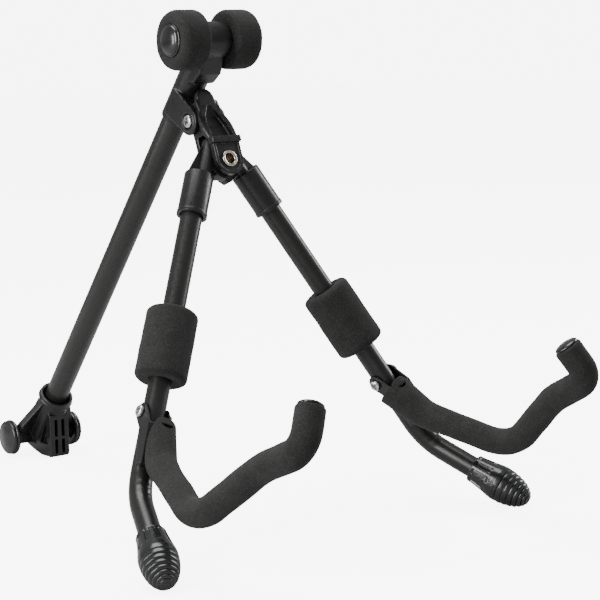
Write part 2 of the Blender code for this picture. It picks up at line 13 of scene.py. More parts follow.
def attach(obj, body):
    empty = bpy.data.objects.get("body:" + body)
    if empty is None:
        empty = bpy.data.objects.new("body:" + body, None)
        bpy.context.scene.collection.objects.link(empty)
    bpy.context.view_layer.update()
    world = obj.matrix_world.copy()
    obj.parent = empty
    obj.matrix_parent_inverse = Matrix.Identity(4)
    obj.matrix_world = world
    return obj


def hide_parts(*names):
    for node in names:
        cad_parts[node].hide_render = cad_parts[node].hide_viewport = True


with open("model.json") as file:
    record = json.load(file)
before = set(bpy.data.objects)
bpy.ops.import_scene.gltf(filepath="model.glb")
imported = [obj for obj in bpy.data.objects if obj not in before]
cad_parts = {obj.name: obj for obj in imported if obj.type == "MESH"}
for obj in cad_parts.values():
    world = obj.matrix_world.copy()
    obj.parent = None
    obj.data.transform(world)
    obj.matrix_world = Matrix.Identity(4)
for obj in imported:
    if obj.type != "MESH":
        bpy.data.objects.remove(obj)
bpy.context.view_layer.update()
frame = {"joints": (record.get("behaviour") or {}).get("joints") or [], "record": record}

MM = 0.001
GAP = 0.3                       # between pieces that touch
SIDES = {"left": -1, "right": 1}
ROUND = 72                      # sides of a large round shape
SMALL = 36                      # sides of a small round shape
FINE = 96                       # sides of a foam sleeve or roller
BENT = 56                       # sides of a bent tube or hose
SMOOTH_ANGLE = 32.0             # edges that turn by more stay sharp
STEP_SMOOTH = 48.0              # the same on a stepped rubber foot
DOME_SMOOTH = 60.0              # and on a domed cap
X_AXIS = (1, 0, 0)
DRILL_X = 30.0                  # half length of a tool that cuts across the rack
DRILL_Y = 40.0                  # half length of a tool that cuts from front to back

# Head and rear leg, about the main hinge; lengths in mm, angles in degrees
REAR_LEAN = 38.94               # of the rear tube from upright
TUBE_OFFSET = 28.6              # of the rear tube's axis behind the hinge
TUBE_TOP = 20.0
REAR_R = 9.75
REAR_WALL = 1.5
SLEEVE_R = 11.6
SLEEVE_END = -21.0
TRUNK_HALF = 10.2
AXLE_UP = 53.5
AXLE_R = 5.0
AXLE_BORE = 3.0
AXLE_SHORT = 1.6                # the axle ends this far inside the rollers' outer faces
HUB_R = 13.6
HUB_HALF = 11.5
ROLLER_R = 22.1
ROLLER_IN = 11.9
ROLLER_OUT = 35.2
CAP_R = 12.0
CAP_DOME = 4.6
LUG_R = 10.3
LUG_IN = 10.3
LUG_OUT = 13.9
LUG_SINK = 1.8                  # depth of the rooms for the screw's head and the nut
PIN_R = 2.5
SCREW_HEAD_R = 4.9
CROSS_ANGLES = (20, 110)        # how the recess in each screw head happens to stand
BAR_REACH = 377.0               # down the rear tube to the foot's cross bar
BAR_R = 7.0
BAR_HALF = 23.5
PAD_R = 15.0
BAR_HEIGHT = 16.39              # of the cross bar's axis above the floor
FOOT_HALF = 9.2                 # half width of the rear foot's wedge
SOLE = -BAR_HEIGHT

# Yoke and front legs
RIVET_DROP = 36.3               # below the main hinge
FRONT_PLATE = (-21.4, -17.0)    # front and back of the yoke's plate
REAR_PLATE = (-1.9, 2.6)
PLATE_R = 12.0
PLATE_RIM = 2.2                 # width of the raised rim round the plate
RIVET_R = 4.5
LEG_OFFSET = 15.0               # of the leg's axis beside the rivet
LEG_R = 8.1
LEG_WALL = 1.4
SOCKET_R = 10.9
SOCKET_TOP = 16.0
SOCKET_END = 50.0
FOAM_R = 18.7
FOAM_TOP = 124.3
FOAM_END = 176.8
FOAM_SLIP = {"left": 2.3, "right": -1.4}     # how far each sleeve has been pushed down its leg
CRADLE_DROP = 205.0             # down the leg to the bracket's screw
CRADLE_PIN_R = 2.0
CRADLE_HEAD_R = 4.3
BEND_DROP = 262.7
BEND_ANGLE = 40.7
BEND_RADIUS = 46.0
TUBE_TAIL = 70.0
FOOT_START = 45.3
FOOT_LENGTH = 49.0
FOOT_WIDEST = 21.5
FOOT_R = 13.6
COLLAR_R = 10.6
COLLAR_LEVELS = (1.5, 2.2, 3, 4, 6, 8, 10, 12, 14, 15.5, 16.5, 17.5, 19)
FLUTES = 10
FLUTE_DEPTH = 0.7

# Cradle arms: corners of the rod, (down the leg, forward of it) from the bracket's screw
ARM_CORNERS = [(17.0, 13.4), (35.0, 15.5), (86.0, 80.3), (60.8, 148.5), (56.6, 190.5), (29.0, 189.5)]
ARM_BENDS = [26.0, 37.0, 55.0, 13.0]
ARM_INSET = 3.0
ARM_TILT = {"left": -1.6, "right": 2.25}     # small set of each bent rod, in degrees
ARM_STRETCH = {"left": 1.014, "right": 0.985}
ROD_R = 4.0
HOSE_R = 9.9
HOSE_START_R = 12.7
HOSE_START = (9.0, 4.2)
HOSE_JOIN = 7                   # from this point of the rod on, the hose follows it
HOSE_EASE = 58.0                # the hose narrows over this length
TIP_R = 8.6
STEM_R = 6.4
STEM_POINTS = 12                # the bracket's stem follows the rod this far
CHEEK_IN = 8.4
CHEEK_OUT = 9.9
EAR_R = 6.8


# ---------------------------------------------------------------- surfaces

class Nodes:
    """Builds one material's node tree around its Principled shader."""

    def __init__(self, name, colour, roughness, metallic=0.0):
        self.material = bpy.data.materials.new(name)
        self.material.use_nodes = True
        self.tree = self.material.node_tree
        self.shader = self.tree.nodes["Principled BSDF"]
        self.set(**{"Base Color": (*colour, 1.0), "Roughness": roughness, "Metallic": metallic})
        self.where = self.add("ShaderNodeTexCoord").outputs["Object"]

    def set(self, **values):
        for socket, value in values.items():
            self.shader.inputs[socket].default_value = value

    def add(self, kind, **values):
        node = self.tree.nodes.new(kind)
        for name, value in values.items():
            setattr(node, name, value)
        return node

    def link(self, output, target):
        self.tree.links.new(output, target)

    def noise(self, scale, detail=3.0, roughness=0.55):
        node = self.add("ShaderNodeTexNoise")
        node.inputs["Scale"].default_value = scale
        node.inputs["Detail"].default_value = detail
        node.inputs["Roughness"].default_value = roughness
        self.link(self.where, node.inputs["Vector"])
        return node.outputs["Fac"]

    def cells(self, scale):
        node = self.add("ShaderNodeTexVoronoi", feature="F1")
        node.inputs["Scale"].default_value = scale
        self.link(self.where, node.inputs["Vector"])
        return node.outputs["Distance"]

    def ramp(self, factor, low, high, start=0.3, end=0.7):
        """A value between low and high as the factor goes from start to end."""
        node = self.add("ShaderNodeMapRange")
        node.inputs["From Min"].default_value = start
        node.inputs["From Max"].default_value = end
        node.inputs["To Min"].default_value = low
        node.inputs["To Max"].default_value = high
        self.link(factor, node.inputs["Value"])
        return node.outputs["Result"]

    def mix(self, factor, first, second):
        """Mixes two colours; each is a colour or a socket."""
        node = self.add("ShaderNodeMix", data_type="RGBA")
        self.link(factor, node.inputs[0])
        for index, colour in ((6, first), (7, second)):
            if isinstance(colour, tuple):
                node.inputs[index].default_value = (*colour, 1.0)
            else:
                self.link(colour, node.inputs[index])
        return node.outputs[2]

    def bumps(self, *layers):
        """Stacks bumps, each given as (height socket, depth in mm, strength)."""
        normal = None
        for height, depth, strength in layers:
            node = self.add("ShaderNodeBump")
            node.inputs["Strength"].default_value = strength
            node.inputs["Distance"].default_value = depth * MM
            self.link(height, node.inputs["Height"])
            if normal is not None:
                self.link(normal, node.inputs["Normal"])
            normal = node.outputs["Normal"]
        self.link(normal, self.shader.inputs["Normal"])

    def pointiness(self, low, high, start, end):
        geometry = self.add("ShaderNodeNewGeometry")
        return self.ramp(geometry.outputs["Pointiness"], low, high, start, end)

    def edges(self):
        """0 on flat surfaces and 1 on outer edges, where handling rubs the finish."""
        return self.pointiness(0.0, 1.0, 0.52, 0.62)

    def painted_recess_shade(self):
        """0 on flat surfaces and 1 in deep corners: the mask of painted shade, which darkens corners and
        recesses where shade falls.
        """
        return self.pointiness(1.0, 0.0, 0.42, 0.49)

    def clouds(self, scale, first, second):
        """Soft patches between two colours."""
        return self.mix(self.ramp(self.noise(scale), 0.0, 1.0), first, second)

    def colour(self, output):
        self.link(output, self.shader.inputs["Base Color"])

    def gloss(self, scale, detail, low, high, roughness=0.55):
        """Lets the surface's roughness wander between low and high."""
        wander = self.ramp(self.noise(scale, detail, roughness), low, high)
        self.link(wander, self.shader.inputs["Roughness"])


def coated_steel():
    """Satin powder coat: fine orange peel, and a slightly uneven gloss."""
    look = Nodes("coated_steel_look", (0.010, 0.0097, 0.0093), 0.36)
    tone = look.clouds(70.0, (0.0085, 0.0082, 0.0078), (0.0115, 0.0111, 0.0106))
    look.colour(look.mix(look.edges(), tone, (0.024, 0.0235, 0.0225)))
    look.gloss(260.0, 4.0, 0.26, 0.38)
    look.bumps((look.noise(1500.0, 2.0), 0.05, 0.35), (look.noise(420.0, 2.0), 0.06, 0.25))
    look.set(**{"Specular IOR Level": 0.4})
    return look.material


def moulded_plastic():
    """Satin moulded plastic with a fine spark-eroded grain."""
    look = Nodes("moulded_plastic_look", (0.012, 0.012, 0.0125), 0.4)
    tone = look.clouds(45.0, (0.0055, 0.0055, 0.006), (0.0085, 0.0085, 0.009))
    look.colour(look.mix(look.edges(), tone, (0.020, 0.020, 0.0205)))
    look.gloss(320.0, 5.0, 0.27, 0.4)
    look.bumps((look.cells(2600.0), 0.04, 0.3), (look.noise(160.0, 2.0), 0.12, 0.2))
    look.set(**{"Specular IOR Level": 0.4})
    return look.material


def foam():
    """Closed-cell foam: matte charcoal with small pores and a fine speckle."""
    look = Nodes("foam_look", (0.017, 0.017, 0.017), 0.94)
    mottled = look.clouds(110.0, (0.0142, 0.0141, 0.0137), (0.0206, 0.0204, 0.0198))
    speck = look.ramp(look.noise(1150.0, 4.0, 0.75), 0.0, 1.0, 0.52, 0.7)
    speckled = look.mix(speck, mottled, (0.046, 0.0455, 0.0445))
    pore = look.ramp(look.cells(1050.0), 1.0, 0.0, 0.05, 0.32)
    look.colour(look.mix(pore, speckled, (0.003, 0.003, 0.003)))
    look.bumps(
        (look.cells(1050.0), 0.22, 0.55),
        (look.noise(1500.0, 4.0, 0.7), 0.2, 0.5),
        (look.noise(150.0, 2.0), 0.35, 0.3),
    )
    look.set(**{"Specular IOR Level": 0.15, "Sheen Weight": 0.04, "Sheen Roughness": 0.5})
    return look.material


def gloss_plastic():
    """Polished plastic with faint handling marks."""
    look = Nodes("gloss_plastic_look", (0.006, 0.006, 0.007), 0.14)
    look.gloss(420.0, 6.0, 0.2, 0.26, roughness=0.7)
    look.colour(look.clouds(60.0, (0.003, 0.003, 0.0035), (0.005, 0.005, 0.0055)))
    look.set(**{"Coat Weight": 0.25, "Coat Roughness": 0.16})
    return look.material


def rubber():
    """Smooth hard rubber, half glossy, faintly uneven."""
    look = Nodes("rubber_look", (0.013, 0.0135, 0.014), 0.3)
    look.colour(look.clouds(80.0, (0.0085, 0.0088, 0.0092), (0.0125, 0.0128, 0.0132)))
    look.gloss(500.0, 5.0, 0.17, 0.29)
    look.bumps((look.noise(900.0, 2.0), 0.03, 0.2), (look.noise(120.0, 2.0), 0.12, 0.15))
    return look.material


def zinc():
    """Bright zinc plate with a faintly clouded, yellow-blue cast, and painted shade darkening the screw's
    recess.
    """
    look = Nodes("zinc_look", (0.74, 0.76, 0.78), 0.26, 1.0)
    tone = look.clouds(900.0, (0.56, 0.60, 0.65), (0.72, 0.70, 0.66))
    # painted shade: the screw's recess and other deep corners are coloured near black
    look.colour(look.mix(look.painted_recess_shade(), tone, (0.02, 0.02, 0.02)))
    look.gloss(1600.0, 4.0, 0.2, 0.36)
    look.bumps((look.noise(2200.0, 3.0), 0.03, 0.3))
    return look.material


def nickel():
    """Nickel plate with warmer, darker clouds."""
    look = Nodes("nickel_look", (0.66, 0.61, 0.55), 0.17, 1.0)
    look.colour(look.clouds(700.0, (0.56, 0.52, 0.47), (0.44, 0.37, 0.30)))
    look.gloss(1200.0, 4.0, 0.12, 0.25)
    look.bumps((look.noise(1800.0, 3.0), 0.03, 0.25))
    return look.material


LOOKS = {
    "coated_steel": coated_steel(),
    "plastic": moulded_plastic(),
    "foam": foam(),
    "gloss": gloss_plastic(),
    "rubber": rubber(),
    "zinc": zinc(),
    "nickel": nickel(),
}


# ---------------------------------------------------------------- shape tools

def from_bmesh(shape):
    bmesh.ops.recalc_face_normals(shape, faces=shape.faces)
    data = bpy.data.meshes.new("shape")
    shape.to_mesh(data)
    shape.free()
    made = bpy.data.objects.new("shape", data)
    bpy.context.scene.collection.objects.link(made)
    return made


def rings_to_solid(rings, loop=False):
    """Skins a list of equal rings of points; the last joins the first when loop is set."""
    shape = bmesh.new()
    grid = [[shape.verts.new(point) for point in ring] for ring in rings]
    count = len(grid[0])
    pairs = list(zip(grid, grid[1:]))
    if loop:
        pairs.append((grid[-1], grid[0]))
    for low, high in pairs:
        for i in range(count):
            j = (i + 1) % count
            shape.faces.new((low[i], low[j], high[j], high[i]))
    if not loop:
        shape.faces.new(grid[0])
        shape.faces.new(grid[-1])
    return from_bmesh(shape)


def turned(profile, sides=ROUND, wave=None):
    """Turns (radius, height) points about Z. wave(radius, height, angle) may change the radius."""
    angles = [k * math.tau / sides for k in range(sides)]

    def point(radius, height, angle):
        if wave:
            radius = wave(radius, height, angle)
        return (radius * math.cos(angle), radius * math.sin(angle), height)

    shape = bmesh.new()
    rows = []
    for radius, height in profile:
        if radius == 0:
            rows.append([shape.verts.new((0, 0, height))])
        else:
            rows.append([shape.verts.new(point(radius, height, a)) for a in angles])
    pairs = list(zip(rows, rows[1:]))
    if profile[0][0] != 0:
        pairs.append((rows[-1], rows[0]))
    for low, high in pairs:
        for k in range(sides):
            j = (k + 1) % sides
            if len(low) == 1:
                shape.faces.new((low[0], high[j], high[k]))
            elif len(high) == 1:
                shape.faces.new((low[k], low[j], high[0]))
            else:
                shape.faces.new((low[k], low[j], high[j], high[k]))
    return from_bmesh(shape)


def arc(centre, radius, start, end, steps):
    """Points of a circle's arc, both ends included, angles in degrees."""
    points = []
    for k in range(steps + 1):
        angle = math.radians(start + (end - start) * k / steps)
        points.append((centre[0] + radius * math.cos(angle), centre[1] + radius * math.sin(angle)))
    return points


def rod(radius, low, high, sides=ROUND, edge=0.0):
    """A closed cylinder along Z, its rims rounded by edge."""
    if not edge:
        return turned([(0, low), (radius, low), (radius, high), (0, high)], sides)
    profile = [(0, low)] + arc((radius - edge, low + edge), edge, -90, 0, 4)
    profile += arc((radius - edge, high - edge), edge, 0, 90, 4) + [(0, high)]
    return turned(profile, sides)


def dome(radius, base, rise, steps, first=0):
    """Profile points up a low dome, without the one in its middle."""
    points = []
    for k in range(first, steps):
        angle = math.radians(90 * k / steps)
        points.append((radius * math.cos(angle), base + rise * math.sin(angle)))
    return points


def pipe(outer, inner, low, high, edge=0.3, sides=ROUND):
    profile = arc((outer - edge, low + edge), edge, -90, 0, 3)
    profile += arc((outer - edge, high - edge), edge, 0, 90, 3)
    return turned(profile + [(inner, high), (inner, low)], sides)


def hull(points):
    shape = bmesh.new()
    for point in points:
        shape.verts.new(point)
    result = bmesh.ops.convex_hull(shape, input=shape.verts)
    loose = [v for v in result["geom_interior"] if isinstance(v, bmesh.types.BMVert)]
    bmesh.ops.delete(shape, geom=loose, context="VERTS")
    return from_bmesh(shape)


def box(low, high):
    return hull([(x, y, z) for x in (low[0], high[0]) for y in (low[1], high[1]) for z in (low[2], high[2])])


def moved(made, matrix):
    made.data.transform(matrix)
    if matrix.determinant() < 0:
        made.data.flip_normals()
    return made


def shift(made, x=0.0, y=0.0, z=0.0):
    return moved(made, Matrix.Translation((x, y, z)))


def turn(made, degrees, axis):
    return moved(made, Matrix.Rotation(math.radians(degrees), 4, axis))


def mirrored(made, side):
    """The shapes are made for the right side; the left one is their mirror image."""
    return made if side > 0 else moved(made, Matrix.Scale(-1, 4, X_AXIS))


def along_x(made, side=1):
    """Lays a shape that was made along Z over, so that it runs out along the side's X."""
    return turn(made, 90 * side, "Y")


def side_profile(outline, low, high):
    """Extrudes an outline of (y, z) points across X."""
    return rings_to_solid([[(x, y, z) for y, z in outline] for x in (low, high)])


def front_profile(outline, low, high):
    """Extrudes an outline of (x, z) points along Y."""
    return rings_to_solid([[(x, y, z) for x, z in outline] for y in (low, high)])


def drill_x(radius, sides=SMALL, half=DRILL_X):
    """The room of a pin or axle that runs across the rack."""
    return along_x(rod(radius + GAP, -half, half, sides))


def rivet_room():
    """The room of the leg rivet, along Y."""
    return turn(rod(RIVET_R + GAP, -DRILL_Y, DRILL_Y), 90, "X")


def boolean(target, tool, operation):
    change = target.modifiers.new(operation, "BOOLEAN")
    change.operation = operation
    change.solver = "EXACT"
    change.object = tool
    view = bpy.context.evaluated_depsgraph_get()
    result = bpy.data.meshes.new_from_object(target.evaluated_get(view))
    target.modifiers.clear()
    target.data = result
    bpy.data.objects.remove(tool)
    return target


def join(first, *others):
    for other in others:
        boolean(first, other, "UNION")
    return first


def cut(first, *tools):
    for tool in tools:
        boolean(first, tool, "DIFFERENCE")
    return first


def bevel_edges(made, width, angle=35.0, segments=3):
    """Rounds every edge that turns by more than the angle."""
    shape = bmesh.new()
    shape.from_mesh(made.data)
    bmesh.ops.dissolve_limit(shape, angle_limit=math.radians(1.0), verts=shape.verts, edges=shape.edges)
    sharp = [e for e in shape.edges if e.is_manifold and e.calc_face_angle(0) > math.radians(angle)]
    bmesh.ops.bevel(
        shape, geom=sharp, offset=width, segments=segments, profile=0.6, affect="EDGES", clamp_overlap=True,
    )
    shape.to_mesh(made.data)
    shape.free()
    return made


def soften(made, voxel=0.5, passes=4):
    """Gives a moulded part round edges and small fillets: a fine even skin, relaxed."""
    skin = made.modifiers.new("skin", "REMESH")
    skin.mode = "VOXEL"
    skin.voxel_size = voxel
    relax = made.modifiers.new("relax", "SMOOTH")
    relax.factor = 0.5
    relax.iterations = passes
    view = bpy.context.evaluated_depsgraph_get()
    result = bpy.data.meshes.new_from_object(made.evaluated_get(view))
    made.modifiers.clear()
    made.data = result
    return made


def lofted(levels, corner=2.0, steps=5):
    """Skins rounded rectangles given as (z, half width, front y, back y)."""
    rings = []
    for z, half, front, back in levels:
        radius = min(corner, half * 0.9, (back - front) * 0.45)
        ring = []
        for x, y, start in ((half, back, 0), (-half, back, 90), (-half, front, 180), (half, front, 270)):
            centre = (x - math.copysign(radius, x), y + (radius if y == front else -radius))
            ring += [(px, py, z) for px, py in arc(centre, radius, start, start + 90, steps)]
        rings.append(ring)
    return rings_to_solid(rings)


def rounded_path(corners, radii, steps=12):
    """A centre line through corners, each inner corner rounded to its radius."""
    corners = [Vector(c) for c in corners]
    path = [corners[0]]
    for before, corner, after, radius in zip(corners, corners[1:], corners[2:], radii):
        into = (corner - before).normalized()
        out = (after - corner).normalized()
        half = into.angle(out) / 2
        start = corner - into * radius * math.tan(half)
        centre = corner + (out - into).normalized() * radius / math.cos(half)
        axis = into.cross(out).normalized()
        for k in range(steps + 1):
            spin = Matrix.Rotation(2 * half * k / steps, 3, axis)
            path.append(centre + spin @ (start - centre))
    path.append(corners[-1])
    return path


def lengths(path):
    """Distance along the path of each of its points."""
    run = [0.0]
    for before, point in zip(path, path[1:]):
        run.append(run[-1] + (point - before).length)
    return run


def resampled(path, spacing, ends=()):
    """The path as even points, with extra ones at the given distances from both ends."""
    run = lengths(path)
    total = run[-1]
    wanted = {round(total * k / round(total / spacing), 4) for k in range(round(total / spacing) + 1)}
    special = sorted({round(e, 4) for e in ends} | {round(total - e, 4) for e in ends})
    wanted = sorted(special + [w for w in wanted if all(abs(w - s) > spacing / 3 for s in special)])
    axes = [np.interp(wanted, run, [p[i] for p in path]) for i in range(3)]
    return [Vector(p) for p in zip(*axes)], wanted


def eased(share):
    share = min(1.0, max(0.0, share))
    return share * share * (3 - 2 * share)


def end_round(distance, radius, edge):
    """Radius near an end whose rim is rounded by edge."""
    if distance >= edge:
        return radius
    return radius - edge + math.sqrt(max(0.0, edge * edge - (edge - distance) ** 2))


def sweep(path, radii, across, sides=SMALL, bore=0.0, wave=None):
    """A round bar along a flat path; across is the path plane's normal. A bore makes it a hose."""
    across = Vector(across).normalized()
    turns = [math.tau * i / sides for i in range(sides)]

    def ring(k, inner):
        ahead = path[min(k + 1, len(path) - 1)] - path[k]
        behind = path[k] - path[max(k - 1, 0)]
        side = (ahead.normalized() + behind.normalized()).normalized().cross(across).normalized()
        points = []
        for a in turns:
            radius = bore if inner else radii[k]
            if wave and not inner:
                radius += wave(k, a)
            points.append(path[k] + (side * math.cos(a) + across * math.sin(a)) * radius)
        return points

    outer = [ring(k, False) for k in range(len(path))]
    if not bore:
        return rings_to_solid(outer)
    inner = [ring(k, True) for k in reversed(range(len(path)))]
    return rings_to_solid(outer + inner, loop=True)


def uneven(made, amount, size, seed):
    """Moves a foam skin in and out by up to amount, in soft patches of that size."""
    shape = bmesh.new()
    shape.from_mesh(made.data)
    shape.normal_update()
    offset = Vector((seed * 31.7, seed * 17.3, seed * 7.9))
    for vert in shape.verts:
        vert.co += vert.normal * amount * noise.noise(vert.co / size + offset)
    shape.to_mesh(made.data)
    shape.free()
    return made


# ---------------------------------------------------------------- places on the frame

def axes_frame(origin, x_axis, y_axis):
    x_axis = Vector(x_axis).normalized()
    y_axis = Vector(y_axis).normalized()
    matrix = Matrix((x_axis, y_axis, x_axis.cross(y_axis))).transposed().to_4x4()
    matrix.translation = Vector(origin)
    return matrix


def frames():
    """The local frames of the rack's parts, read from its joints."""
    joints = {j["name"]: j for j in frame["joints"]}
    hinge = Vector(joints["fold"]["pos_m"])
    back = Vector(joints["right_splay"]["axis"])
    found = {"rear": Matrix.Translation(hinge) @ Matrix.Rotation(math.radians(REAR_LEAN), 4, "X")}
    bar = found["rear"] @ (Vector((0, TUBE_OFFSET, -BAR_REACH)) * MM)
    found["rear_foot"] = Matrix.Translation(bar)
    found["front"] = axes_frame(hinge, X_AXIS, back)
    for name in SIDES:
        pivot = joints[f"{name}_splay"]["pos_m"]
        screw = joints[f"{name}_cradle_fold"]
        across = -Vector(screw["axis"])
        found[f"{name}_leg"] = axes_frame(pivot, across, back)
        found[f"{name}_cradle"] = axes_frame(screw["pos_m"], across, back)
    return found


FRAMES = frames()
BODY_OF = {node: body for body, nodes in frame["record"]["behaviour"]["bodies"].items() for node in nodes}
SLOT_OF = {entry["node"]: entry["material_slot"] for entry in frame["record"]["subparts"]}


def finish(made, node, place, smooth=SMOOTH_ANGLE):
    """Puts a shape where its CAD node is, gives it that node's finish, and stands it in for the node."""
    made.data.transform(FRAMES[place] @ Matrix.Scale(MM, 4))
    made.name = f"{node}_shape"
    made.data.name = made.name
    made.data.materials.clear()
    made.data.materials.append(LOOKS[SLOT_OF[node]])
    made.data.shade_smooth()
    made.data.set_sharp_from_angle(angle=math.radians(smooth))
    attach(made, BODY_OF[node])
    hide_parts(node)
    return made


# ---------------------------------------------------------------- fasteners

def cross_screw(head_r, head_height, shank_r, shank_end):
    """A pan-head screw with a tapered cross recess; its seat is at 0 and its shank runs along -Z."""
    edge = 0.4
    recess = 2.4
    flank = head_height * 0.42
    profile = [(0, shank_end), (shank_r - edge, shank_end), (shank_r, shank_end + edge), (shank_r, 0)]
    profile += arc((head_r - edge, edge), edge, -90, 0, 3)
    profile += [(head_r, flank)]
    profile += arc((head_r * 0.62, flank), head_r * 0.38, 12, 78, 7)
    crown = profile[-1][1]
    profile += [(head_r * 0.4, crown + 0.1), (0, crown + 0.16)]
    made = turned(profile, SMALL)
    wing = head_r * 0.7
    slot = head_r * 0.19
    for spin in CROSS_ANGLES:
        points = [(x * wing * 0.55, y * slot * 0.7, crown - recess) for x in (-1, 1) for y in (-1, 1)]
        points += [(x * wing, y * slot, crown + 0.5) for x in (-1, 1) for y in (-1, 1)]
        made = cut(made, turn(hull(points), spin, "Z"))
    return made


def hex_nut(corner_r, bore, height):
    """A nut with chamfered corners and a countersunk bore."""
    chamfer = 0.7
    flat = corner_r * 0.9
    wide = corner_r * 1.02
    blank = turned([(0, 0), (corner_r, 0), (corner_r, height), (0, height)], 6)
    cone = [(0, 0), (flat, 0), (wide, chamfer), (wide, height - chamfer), (flat, height), (0, height)]
    hole = [(0, -1), (bore, -1), (bore, height - 0.4), (bore + 0.8, height + 0.4), (0, height + 0.4)]
    return cut(boolean(blank, turned(cone, SMALL), "INTERSECT"), turned(hole, SMALL))


def fasten(screw_node, nut_node, place, screw, nut, seat):
    """A screw through two lugs or ears from the left, and its nut on the right."""
    finish(shift(turn(screw, -90, "Y"), x=-seat), screw_node, place)
    finish(shift(along_x(nut), x=seat), nut_node, place)


# ---------------------------------------------------------------- head and rear leg

def head_block():
    hub = along_x(rod(HUB_R, -HUB_HALF, HUB_HALF, edge=0.8))
    hub = shift(hub, y=TUBE_OFFSET, z=AXLE_UP)
    sleeve = shift(rod(SLEEVE_R, SLEEVE_END, AXLE_UP - 4, edge=0.6), y=TUBE_OFFSET)
    trunk_outline = [(31, 60), (18, 52), (12.6, 34), (15.6, 22.5), (22, 18), (37, 24), (39, 52)]
    trunk = bevel_edges(side_profile(trunk_outline, -TRUNK_HALF, TRUNK_HALF), 2.6, segments=5)
    made = join(sleeve, hub, trunk)
    reach = TUBE_OFFSET + 1.0
    lug_outline = arc((0, 0), LUG_R, 88, 262, 40) + [(reach, -14.5), (reach, 8.0)]
    for side in SIDES.values():
        low, high = sorted((side * LUG_IN, side * LUG_OUT))
        made = join(made, bevel_edges(side_profile(lug_outline, low, high), 0.7))
        boss = pipe(SCREW_HEAD_R + 2.6, SCREW_HEAD_R + 1.0, LUG_OUT - 1.0, LUG_OUT + 0.5)
        made = join(made, along_x(boss, side))
    mouth_profile = [(0, SLEEVE_END - 1), (REAR_R + 1.2, SLEEVE_END - 1), (REAR_R + GAP, SLEEVE_END + 0.8)]
    end = TUBE_TOP + 2
    tube_bore = shift(turned(mouth_profile + [(REAR_R + GAP, end), (0, end)]), y=TUBE_OFFSET)
    axle_bore = shift(drill_x(AXLE_R, ROUND), y=TUBE_OFFSET, z=AXLE_UP)
    rooms = [along_x(rod(SCREW_HEAD_R + 1.1, LUG_OUT - LUG_SINK, DRILL_X), side) for side in SIDES.values()]
    return soften(cut(made, tube_bore, axle_bore, drill_x(PIN_R), *rooms))


def roller(side):
    """A foam roller with deep round shoulders and a shallow dish under its cap."""
    shoulder = 6.0
    inner = 3.5
    outline = [(AXLE_R + GAP, ROLLER_IN)]
    outline += arc((ROLLER_R - inner, ROLLER_IN + inner), inner, -90, 0, 10)
    outline += [(ROLLER_R, ROLLER_IN + inner + k * 2.6) for k in range(1, 5)]
    outline += arc((ROLLER_R - shoulder, ROLLER_OUT - shoulder), shoulder, 0, 84, 16)
    outline += [(CAP_R + 0.8, ROLLER_OUT - 0.5), (CAP_R, ROLLER_OUT - 1.2), (AXLE_R + GAP, ROLLER_OUT - 1.3)]
    made = uneven(turned(outline, FINE), 0.3, 9.0, seed=side + 2)
    return shift(along_x(made, side), y=TUBE_OFFSET, z=AXLE_UP)


def roller_cap(side):
    """A domed push-in cap with a thin flat rim; its shank sits in the hollow axle."""
    seat = ROLLER_OUT - 0.9
    rim = 1.1
    profile = [(0, seat - 9), (2.6, seat - 9), (2.6, seat), (CAP_R - 0.3, seat), (CAP_R, seat + 0.3)]
    profile += [(CAP_R, seat + rim - 0.3), (CAP_R - 0.3, seat + rim)]
    profile += dome(CAP_R - 0.9, seat + rim + 0.1, CAP_DOME - rim, 14)
    profile.append((0, seat + CAP_DOME + 0.1))
    return shift(along_x(turned(profile), side), y=TUBE_OFFSET, z=AXLE_UP)


def build_head():
    finish(head_block(), "head_block", "rear")
    axle = along_x(pipe(AXLE_R, AXLE_BORE, -ROLLER_OUT + AXLE_SHORT, ROLLER_OUT - AXLE_SHORT))
    finish(shift(axle, y=TUBE_OFFSET, z=AXLE_UP), "top_axle", "rear")
    for name, side in SIDES.items():
        finish(roller(side), f"roller_foam_{name}", "rear")
        finish(roller_cap(side), f"roller_cap_{name}", "rear", smooth=DOME_SMOOTH)
    seat = LUG_OUT - LUG_SINK + GAP
    screw = cross_screw(SCREW_HEAD_R, 2.6, PIN_R, -2 * seat - 3.6)
    fasten("hinge_screw", "hinge_nut", "rear", screw, hex_nut(SCREW_HEAD_R, PIN_R + GAP, 3.4), seat)
    tube = shift(pipe(REAR_R, REAR_R - REAR_WALL, -BAR_REACH + 9, TUBE_TOP), y=TUBE_OFFSET)
    finish(tube, "rear_leg_tube", "rear")


def foot_body():
    """The wedge over the cross bar with a toothed sole."""
    outline = [(-33, SOLE + 2.5), (-31, SOLE)]
    teeth = 6
    pitch = 2.0
    depth = 0.9
    for k in range(teeth):
        y = -29.5 + pitch * k
        outline += [(y, SOLE), (y + pitch * 0.5, SOLE + depth), (y + pitch, SOLE)]
    outline += [(-12, SOLE + 1.2), (-6, SOLE + 2.6), (0, SOLE + 4.2), (7, SOLE + 6.6), (14, SOLE + 9.6)]
    outline += [(14.6, -2), (12, 6), (-14, 34), (-33, 20)]
    return side_profile(outline, -FOOT_HALF, FOOT_HALF)


